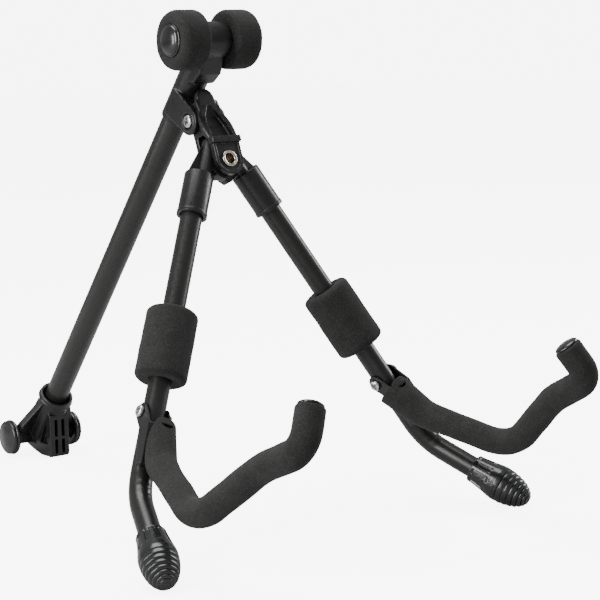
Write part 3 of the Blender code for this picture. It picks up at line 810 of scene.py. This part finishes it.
def rear_foot_block():
    """The rear foot about the middle of its cross bar, upright as it stands."""
    slot_x = 3.4
    slot_half = 1.5
    collar_profile = [(0, -2), (13.4, -2), (12.8, 43.2)] + arc((13.9, 44.8), 1.2, -120, 60, 8)
    collar_profile += [(14.3, 48.2)] + arc((13.6, 48.2), 0.8, 0, 90, 4) + [(0, 49)]
    collar = turn(turned(collar_profile), REAR_LEAN, "X")
    made = join(foot_body(), collar, along_x(rod(BAR_R, -BAR_HALF, BAR_HALF, edge=0.5)))
    corners = [(8, 36), (13.2, 43.5), (26, 12.5), (25.6, 9.6), (23.2, 8.9), (21, -3), (8, -5)]
    for side in SIDES.values():
        brace = bevel_edges(front_profile([(side * x, z) for x, z in corners], -3.5, 3), 0.6)
        made = join(made, turn(brace, REAR_LEAN, "X"))
    tube_room = turn(rod(REAR_R + GAP, 6, 60), REAR_LEAN, "X")
    mouth = turn(turned([(0, 43), (REAR_R - 1, 43), (12.7, 49.5), (12.7, 52), (0, 52)]), REAR_LEAN, "X")
    made = cut(made, tube_room, mouth)
    for x in (-slot_x, slot_x):
        for low, high in ((SOLE + 3.0, -1.0), (1.6, 16.0)):
            made = cut(made, box((x - slot_half, -40, low), (x + slot_half, -28, high)))
    for side in SIDES.values():
        recess = side_profile([(-24.0, 13.5), (-14.5, -4.6), (-27.5, -5.4)], FOOT_HALF - 4.1, FOOT_HALF + 20)
        made = cut(made, mirrored(bevel_edges(recess, 0.8), side))
    return soften(made, voxel=0.42, passes=2)


def rear_pad(side):
    """A mushroom pad on the bar's end: a stem, a doubled rim and a low dome."""
    start = BAR_HALF + GAP
    profile = [(0, start), (8.5, start), (8.2, 26.2)] + arc((9.6, 27.6), 1.4, 200, 270, 4)[::-1]
    profile += arc((PAD_R - 1.7, 28.9), 1.7, -80, 70, 8)
    profile += arc((PAD_R - 2.3, 31.9), 1.7, -60, 80, 8)
    for k in range(1, 12):
        share = k / 12
        radius = (PAD_R - 3.4) * (1 - share)
        profile.append((radius, 33.6 + 2.0 * math.sin(math.pi / 2 * share)))
    profile.append((0, 35.6))
    return along_x(turned(profile), side)


def build_rear_foot():
    finish(rear_foot_block(), "rear_foot", "rear_foot")
    for name, side in SIDES.items():
        finish(rear_pad(side), f"rear_pad_{name}", "rear_foot")


# ---------------------------------------------------------------- yoke

def tongue(radius, top, drop, low, high):
    """A plate that hangs from top and ends in a half circle about the leg pivot, thick along Y."""
    outline = [(radius, top)] + arc((0, -drop), radius, 0, -180, 40) + [(-radius, top)]
    return bevel_edges(front_profile(outline, low, high), 0.8)


def yoke_block():
    """Crown, waist and front plate in one sweep, with a long pocket above the shelf."""
    knuckle = along_x(rod(9.3, -10.0, 10.0, edge=0.5))
    core = side_profile([(-10, 13), (-3, 11), (2.6, 6), (2.6, -14.2), (-18, -14.2), (-14, -3)], -10.0, 10.0)
    body = lofted([
        (22.0, 2.2, -9.2, -5.0), (21.2, 4.2, -9.8, -4.5), (19.0, 6.4, -10.3, -4.2),
        (16.0, 7.6, -10.6, -4.2), (12.0, 8.3, -10.8, -4.2), (8.0, 9.2, -11.1, -4.6),
        (4.0, 10.6, -11.9, -6.4), (0.0, 12.2, -13.2, -9.0), (-5.0, 13.5, -15.3, -11.0),
        (-10.0, 13.9, -17.5, -12.0), (-15.0, 13.5, -19.5, -12.5), (-20.0, 12.8, -21.4, -17.0),
    ])
    front = tongue(PLATE_R, -18, RIVET_DROP, *FRONT_PLATE)
    rim_top = -22
    inner_r = PLATE_R - PLATE_RIM
    band = [(PLATE_R, rim_top)] + arc((0, -RIVET_DROP), PLATE_R, 0, -180, 48)
    band += [(-PLATE_R, rim_top), (-inner_r, rim_top)]
    band += arc((0, -RIVET_DROP), inner_r, -180, 0, 48) + [(inner_r, rim_top)]
    rim = front_profile(band, FRONT_PLATE[0] - 0.9, FRONT_PLATE[0] + 1)
    rear = tongue(10.0, -6, RIVET_DROP, *REAR_PLATE)
    shelf = bevel_edges(box((-12.9, -24.6, -24.2), (12.9, -17.0, -19.0)), 1.3)
    made = join(body, core, knuckle, front, rim, rear, shelf)
    pocket = hull([
        (x * half, y, z)
        for z, half, floor in ((8.0, 1.4, -10.0), (0.0, 6.0, -9.4), (-8.0, 8.8, -11.6), (-18.2, 9.4, -16.0))
        for x in (-1, 1)
        for y in (-40, floor)
    ])
    pivot = shift(rivet_room(), z=-RIVET_DROP)
    return soften(cut(made, bevel_edges(pocket, 1.2), pivot, drill_x(PIN_R)), voxel=0.42, passes=3)


def leg_rivet():
    """A hollow rivet with a rolled rim in front, along Y."""
    front = -FRONT_PLATE[0] + GAP
    back = -REAR_PLATE[1] - GAP
    flange = 6.4
    bore = 3.9
    profile = [(RIVET_R, back), (RIVET_R, front), (flange - 0.3, front)]
    profile += arc((flange - 1.1, front + 0.2), 1.1, 0, 90, 6)
    profile += arc((bore + 1.0, front), 1.0, 90, 180, 6)
    profile += [(bore, back - 1.0), (bore + 0.4, back - 1.4)]
    profile += [(flange - 0.3, back - 1.4), (flange, back - 1.1), (flange, back)]
    return shift(turn(turned(profile), 90, "X"), z=-RIVET_DROP)


def build_yoke():
    finish(yoke_block(), "yoke", "front")
    finish(leg_rivet(), "leg_rivet", "front")


# ---------------------------------------------------------------- front legs

def leg_socket(side):
    """Sleeve, neck, fin and flat knuckle; the left knuckle lies before the right one."""
    layer = (1.2, 8.2) if side < 0 else (-6.2, 0.9)
    middle = 2.4 if side < 0 else -0.6
    neck_x = LEG_OFFSET - 2.5
    sleeve = shift(rod(SOCKET_R, -SOCKET_END, -SOCKET_TOP, edge=0.9), x=LEG_OFFSET)
    proud = 0.35
    band = pipe(SOCKET_R + proud, SOCKET_R - 1, -SOCKET_END, -SOCKET_END + 3.2, edge=proud)
    neck = shift(rod(5.9, -SOCKET_TOP - 2, 12.6, edge=1.8), x=neck_x, y=-middle)
    lobe_r = 14.4 if side < 0 else 15.6
    outline = [(neck_x, 10.5), (2.5, 6.6)] + arc((0, 0), 7.0, 90, 180, 16) + [(-7.0, -7.0), (-6.2, -10.4)]
    outline += arc((0, 0), lobe_r, -104, -52, 24) + [(neck_x, -SOCKET_TOP - 1)]
    knuckle = bevel_edges(front_profile(outline, -layer[1], -layer[0]), 0.7)
    lip = LEG_OFFSET + SOCKET_R - 0.4
    fin_outline = [(neck_x + 2, 11.0), (neck_x + 6.8, 5.0), (neck_x + 2, -18)]
    fin_outline += [(lip - 3, -18), (lip, -SOCKET_TOP)]
    fin = bevel_edges(hull([(x, y - middle, z) for x, z in fin_outline for y in (-0.9, 0.9)]), 0.3)
    made = join(sleeve, shift(band, x=LEG_OFFSET), neck, knuckle, fin)
    mouth = [(0, -SOCKET_END - 1), (LEG_R + 1.4, -SOCKET_END - 1), (LEG_R + GAP, -SOCKET_END + 1.0)]
    leg_room = shift(turned(mouth + [(LEG_R + GAP, -SOCKET_TOP - 2), (0, -SOCKET_TOP - 2)]), x=LEG_OFFSET)
    return cut(made, leg_room, rivet_room())


def leg_tube():
    """The bent tube, lightly creased on the inside of its bend."""
    bend = math.radians(BEND_ANGLE)
    corner = Vector((LEG_OFFSET, 0, -BEND_DROP))
    tail = corner + Vector((0, -math.sin(bend), -math.cos(bend))) * TUBE_TAIL
    start = Vector((LEG_OFFSET, 0, -SOCKET_TOP - 3))
    path, run = resampled(rounded_path([start, corner, tail], [BEND_RADIUS], 24), 1.6)
    reach = BEND_RADIUS * math.tan(bend / 2)
    middle = (corner - start).length - reach + BEND_RADIUS * bend / 2
    half = BEND_RADIUS * bend / 2
    first_side = (path[1] - path[0]).normalized().cross(Vector(X_AXIS))
    inner_sign = 1.0 if first_side.y < 0 else -1.0

    def crease(k, angle):
        near = 1 - eased(abs(run[k] - middle) / (half * 1.15))
        inside = max(0.0, inner_sign * math.cos(angle)) ** 3
        return near * inside * (0.28 * math.sin(run[k] * math.tau / 6.4) - 0.2)

    made = sweep(path, [LEG_R] * len(path), X_AXIS, BENT, bore=LEG_R - LEG_WALL, wave=crease)
    hole = shift(drill_x(CRADLE_PIN_R, half=12), x=LEG_OFFSET, z=-CRADLE_DROP)
    return cut(made, hole)


def leg_foam(seed):
    """The foam sleeve on the leg, with soft rims and a mouth that hugs the tube."""
    edge = 3.8
    outline = [(LEG_R + GAP, -FOAM_END + 0.6)]
    outline += arc((FOAM_R - edge, -FOAM_END + edge), edge, -88, 0, 10)
    length = FOAM_END - FOAM_TOP - 2 * edge
    outline += [(FOAM_R, -FOAM_END + edge + length * k / 16) for k in range(1, 16)]
    outline += arc((FOAM_R - edge, -FOAM_TOP - edge), edge, 0, 88, 10)
    outline.append((LEG_R + GAP, -FOAM_TOP - 0.6))
    return shift(uneven(turned(outline, FINE), 0.35, 11.0, seed), x=LEG_OFFSET)


def nose_point(angle):
    """(radius, reach) on the foot's elliptical nose, from 0 at its widest to 90 at its tip."""
    angle = math.radians(angle)
    return FOOT_R * math.cos(angle), FOOT_WIDEST + (FOOT_LENGTH - FOOT_WIDEST) * math.sin(angle)


def foot_profile():
    """A tapered collar, then a nose of round steps that get finer towards the tip."""
    steps = 9
    pitch = 90 / steps
    profile = [(0, 0), (COLLAR_R - 0.5, 0)] + arc((COLLAR_R - 0.4, 0.5), 0.5, -60, 20, 4)
    for reach in COLLAR_LEVELS:
        profile.append((COLLAR_R + (FOOT_R - COLLAR_R) * (reach / FOOT_WIDEST) ** 1.2, reach))
    for k in range(steps):
        radius, reach = nose_point(pitch * k)
        next_radius, next_reach = nose_point(pitch * (k + 1))
        rise = next_reach - reach
        fall = radius - next_radius
        for inward, along in ((0.55, 0.0), (0.2, 0.06), (0.1, 0.2), (0.15, 0.5), (0.35, 0.75), (0.7, 0.88)):
            profile.append((radius - fall * inward, reach + rise * along))
        if k < steps - 1:
            profile.append((next_radius - 0.55, reach + rise * 0.96))
    profile.append((0, FOOT_LENGTH))
    return profile


def flute(radius, height, angle):
    """Flat recesses round the collar, with steep ends and sides."""
    fade = eased((height - 1.6) / 1.6) * (1 - eased((height - 15.0) / 2.0))
    groove = eased((math.cos(angle * FLUTES) + 0.45) / 0.5)
    return radius - FLUTE_DEPTH * fade * groove


def rubber_foot():
    """A slip-on foot on the bent end of the leg."""
    socket = rod(LEG_R + GAP, -5, TUBE_TAIL - FOOT_START + 1)
    made = shift(cut(turned(foot_profile(), 160, flute), socket), z=FOOT_START)
    made = turn(made, 180 - BEND_ANGLE, "X")
    return shift(made, x=LEG_OFFSET, z=-BEND_DROP)


def build_leg(name, side):
    place = f"{name}_leg"
    finish(mirrored(leg_socket(side), side), f"leg_socket_{name}", place)
    finish(mirrored(leg_tube(), side), f"leg_tube_{name}", place)
    sleeve = shift(leg_foam(side + 5), z=-FOAM_SLIP[name])
    finish(mirrored(sleeve, side), f"leg_foam_{name}", place)
    finish(mirrored(rubber_foot(), side), f"rubber_foot_{name}", place, smooth=STEP_SMOOTH)


# ---------------------------------------------------------------- cradle arms

def arm_corner(down, forward, name):
    """A corner of the arm, stretched forward and turned by its small tilt about the bracket's screw."""
    tilt = math.radians(ARM_TILT[name])
    forward *= ARM_STRETCH[name]
    u = down * math.cos(tilt) - forward * math.sin(tilt)
    v = down * math.sin(tilt) + forward * math.cos(tilt)
    return Vector((-ARM_INSET, -v, -u))


def arm_path(name):
    return rounded_path([arm_corner(*corner, name) for corner in ARM_CORNERS], ARM_BENDS)


def cradle_bracket(name):
    """Two ears on the screw, cheeks beside the leg, a web before it and a stem round the rod."""
    outline = arc((0, 0), EAR_R, 30, 215, 28) + [(0.6, -12), (4.5, -30), (6.5, -41), (13.5, -38), (14, -10)]
    made = None
    for low, high in ((-CHEEK_OUT, -CHEEK_IN), (CHEEK_IN, CHEEK_OUT)):
        cheek = bevel_edges(rings_to_solid([[(x, -v, w) for v, w in outline] for x in (low, high)]), 0.5)
        made = cheek if made is None else join(made, cheek)
    web = bevel_edges(box((-CHEEK_OUT, -14.0, -40.0), (CHEEK_OUT, -9.0, -9.6)), 0.5)
    line = arm_path(name)
    made = join(made, web, sweep(line[:STEM_POINTS], [STEM_R] * STEM_POINTS, X_AXIS))
    back = line[0] - (line[1] - line[0]).normalized() * GAP
    rod_room = sweep([back] + line[1:], [ROD_R + GAP] * len(line), X_AXIS)
    leg_room = box((-CHEEK_IN, -8.9, -80), (CHEEK_IN, 30, 30))
    return soften(cut(made, leg_room, rod_room, drill_x(CRADLE_PIN_R)), voxel=0.4, passes=2)


def arm_foam(name, seed):
    """The foam hose: widest over the bracket, open behind where it passes the leg, round at its tip."""
    rim = 1.4
    ends = (0.0, 0.2, 0.5, 0.9, 1.4)
    line = arm_path(name)
    path, run = resampled([arm_corner(*HOSE_START, name)] + line[HOSE_JOIN:], 2.4, ends)
    radii = []
    for distance in run:
        radius = HOSE_START_R + (HOSE_R - HOSE_START_R) * eased(distance / HOSE_EASE)
        radii.append(end_round(min(distance, run[-1] - distance), radius, rim))
    made = uneven(sweep(path, radii, X_AXIS, BENT), 0.4, 16.0, seed)
    leg_slot = box((-CHEEK_OUT - GAP, -14.4, -60), (CHEEK_OUT + GAP, 30, 30))
    ahead = (line[1] - line[0]).normalized()
    reach = line[-1] + (line[-1] - line[-2]).normalized() * 5
    bore = sweep(line[:-1] + [reach], [ROD_R + GAP] * len(line), X_AXIS)
    stem_line = [line[0] - ahead * 8] + line[1:STEM_POINTS + 3]
    stem_room = sweep(stem_line, [STEM_R + GAP] * len(stem_line), X_AXIS)
    return cut(made, leg_slot, bore, stem_room)


def arm_cap(name):
    """A domed plug in the hose's tip."""
    line = arm_path(name)
    ahead = (line[-1] - line[-2]).normalized()
    rim = 0.9
    profile = [(0, 0), (TIP_R - 0.3, 0), (TIP_R, 0.3), (TIP_R, rim)]
    made = turned(profile + dome(TIP_R, rim, 2.5, 12, first=1) + [(0, 3.4)])
    spin = Vector((0, 0, 1)).rotation_difference(ahead).to_matrix().to_4x4()
    return moved(moved(made, spin), Matrix.Translation(line[-1] + ahead * GAP))


def build_cradle(name, side):
    """Screws enter both brackets from the same side."""
    place = f"{name}_cradle"
    finish(mirrored(cradle_bracket(name), side), f"cradle_bracket_{name}", place)
    seat = CHEEK_OUT + GAP
    screw = cross_screw(CRADLE_HEAD_R, 2.4, CRADLE_PIN_R, -2 * seat - 3.2)
    nut = hex_nut(CRADLE_HEAD_R, CRADLE_PIN_R + GAP, 3.0)
    fasten(f"cradle_screw_{name}", f"cradle_nut_{name}", place, screw, nut, seat)
    line = arm_path(name)
    finish(mirrored(sweep(line, [ROD_R] * len(line), X_AXIS), side), f"cradle_arm_{name}", place)
    finish(mirrored(arm_foam(name, side + 9), side), f"arm_foam_{name}", place)
    finish(mirrored(arm_cap(name), side), f"arm_cap_{name}", place, smooth=DOME_SMOOTH)


# ---------------------------------------------------------------- studio

CAMERA_FROM_HINGE = (-0.79176, -1.11883, 0.04588)
CAMERA_TURN = 38.19             # degrees to the left of straight on
CAMERA_DROP = 7.58              # degrees that it looks down
CAMERA_ROLL = -1.24
CAMERA_LENS = 109.7
FLOOR_SIZE = 30.0
FLOOR_DROP = 0.0004             # keeps the floor just clear of the soles
FLOOR_GLOW = 6.4
WORLD_SEEN = 7.0                # brightness of the backdrop
WORLD_LIGHT = 0.45              # brightness of the light it gives
LIGHT_AIM = (0.0, 0.0, 0.18)
SOFT_BOXES = (                  # name, place, size in metres, power in watts
    ("left_light", (-2.2, -0.3, 0.9), (0.6, 1.6), 55.0),
    ("right_light", (2.1, -0.4, 1.0), (0.6, 1.4), 34.0),
    ("side_light", (-2.2, 0.75, 0.45), (0.45, 0.9), 18.0),
    ("top_light", (-0.2, 0.3, 2.3), (1.6, 1.6), 60.0),
)


def studio_floor():
    """A pale floor that glows evenly to the camera and is plain grey to everything else."""
    place = (0, 0, -FLOOR_DROP)
    bpy.ops.mesh.primitive_grid_add(x_subdivisions=8, y_subdivisions=8, size=FLOOR_SIZE, location=place)
    floor = bpy.context.object
    floor.name = "studio_floor"
    look = Nodes("studio_floor_look", (0.93, 0.93, 0.93), 0.8)
    look.colour(look.clouds(3.0, (0.925, 0.925, 0.925), (0.935, 0.935, 0.935)))
    look.set(**{"Specular IOR Level": 0.0, "Emission Color": (1.0, 1.0, 1.0, 1.0)})
    look.set(**{"Emission Strength": FLOOR_GLOW})
    grey = look.add("ShaderNodeBsdfDiffuse")
    grey.inputs["Color"].default_value = (0.5, 0.5, 0.5, 1.0)
    seen = look.add("ShaderNodeLightPath").outputs["Is Camera Ray"]
    both = look.add("ShaderNodeMixShader")
    look.link(seen, both.inputs[0])
    look.link(grey.outputs[0], both.inputs[1])
    look.link(look.shader.outputs[0], both.inputs[2])
    look.link(both.outputs[0], look.tree.nodes["Material Output"].inputs["Surface"])
    floor.data.materials.append(look.material)


def soft_box(name, place, aim, size, power):
    light = bpy.data.lights.new(name, "AREA")
    light.shape = "RECTANGLE"
    light.size, light.size_y = size
    light.energy = power
    made = bpy.data.objects.new(name, light)
    made.location = place
    made.rotation_euler = (Vector(aim) - Vector(place)).to_track_quat("-Z", "Y").to_euler()
    bpy.context.scene.collection.objects.link(made)


def studio_light():
    world = bpy.data.worlds.new("studio_world")
    world.use_nodes = True
    tree = world.node_tree
    dim = tree.nodes["Background"]
    bright = tree.nodes.new("ShaderNodeBackground")
    for background, strength in ((dim, WORLD_LIGHT), (bright, WORLD_SEEN)):
        background.inputs["Color"].default_value = (1.0, 1.0, 1.0, 1.0)
        background.inputs["Strength"].default_value = strength
    both = tree.nodes.new("ShaderNodeMixShader")
    tree.links.new(tree.nodes.new("ShaderNodeLightPath").outputs["Is Camera Ray"], both.inputs[0])
    tree.links.new(dim.outputs[0], both.inputs[1])
    tree.links.new(bright.outputs[0], both.inputs[2])
    tree.links.new(both.outputs[0], tree.nodes["World Output"].inputs["Surface"])
    bpy.context.scene.world = world
    for name, place, size, power in SOFT_BOXES:
        soft_box(name, place, LIGHT_AIM, size, power)


def studio_camera():
    turn_by = math.radians(CAMERA_TURN)
    drop = math.radians(CAMERA_DROP)
    roll = math.radians(CAMERA_ROLL)
    level = math.cos(drop)
    toward = Vector((-math.sin(turn_by) * level, -math.cos(turn_by) * level, math.sin(drop)))
    right = Vector((math.cos(turn_by), -math.sin(turn_by), 0))
    up = right.cross(-toward)
    rolled = math.cos(roll) * right + math.sin(roll) * up
    up = math.cos(roll) * up - math.sin(roll) * right
    matrix = Matrix((rolled, up, toward)).transposed().to_4x4()
    matrix.translation = FRAMES["front"].translation + Vector(CAMERA_FROM_HINGE)
    data = bpy.data.cameras.new("studio_camera")
    data.sensor_width = 36.0
    data.lens = CAMERA_LENS
    data.clip_end = 100.0
    made = bpy.data.objects.new("studio_camera", data)
    made.matrix_world = matrix
    bpy.context.scene.collection.objects.link(made)
    bpy.context.scene.camera = made


# ---------------------------------------------------------------- the rack

build_head()
build_rear_foot()
build_yoke()
for side_name, side_sign in SIDES.items():
    build_leg(side_name, side_sign)
    build_cradle(side_name, side_sign)
studio_floor()
studio_light()
studio_camera()
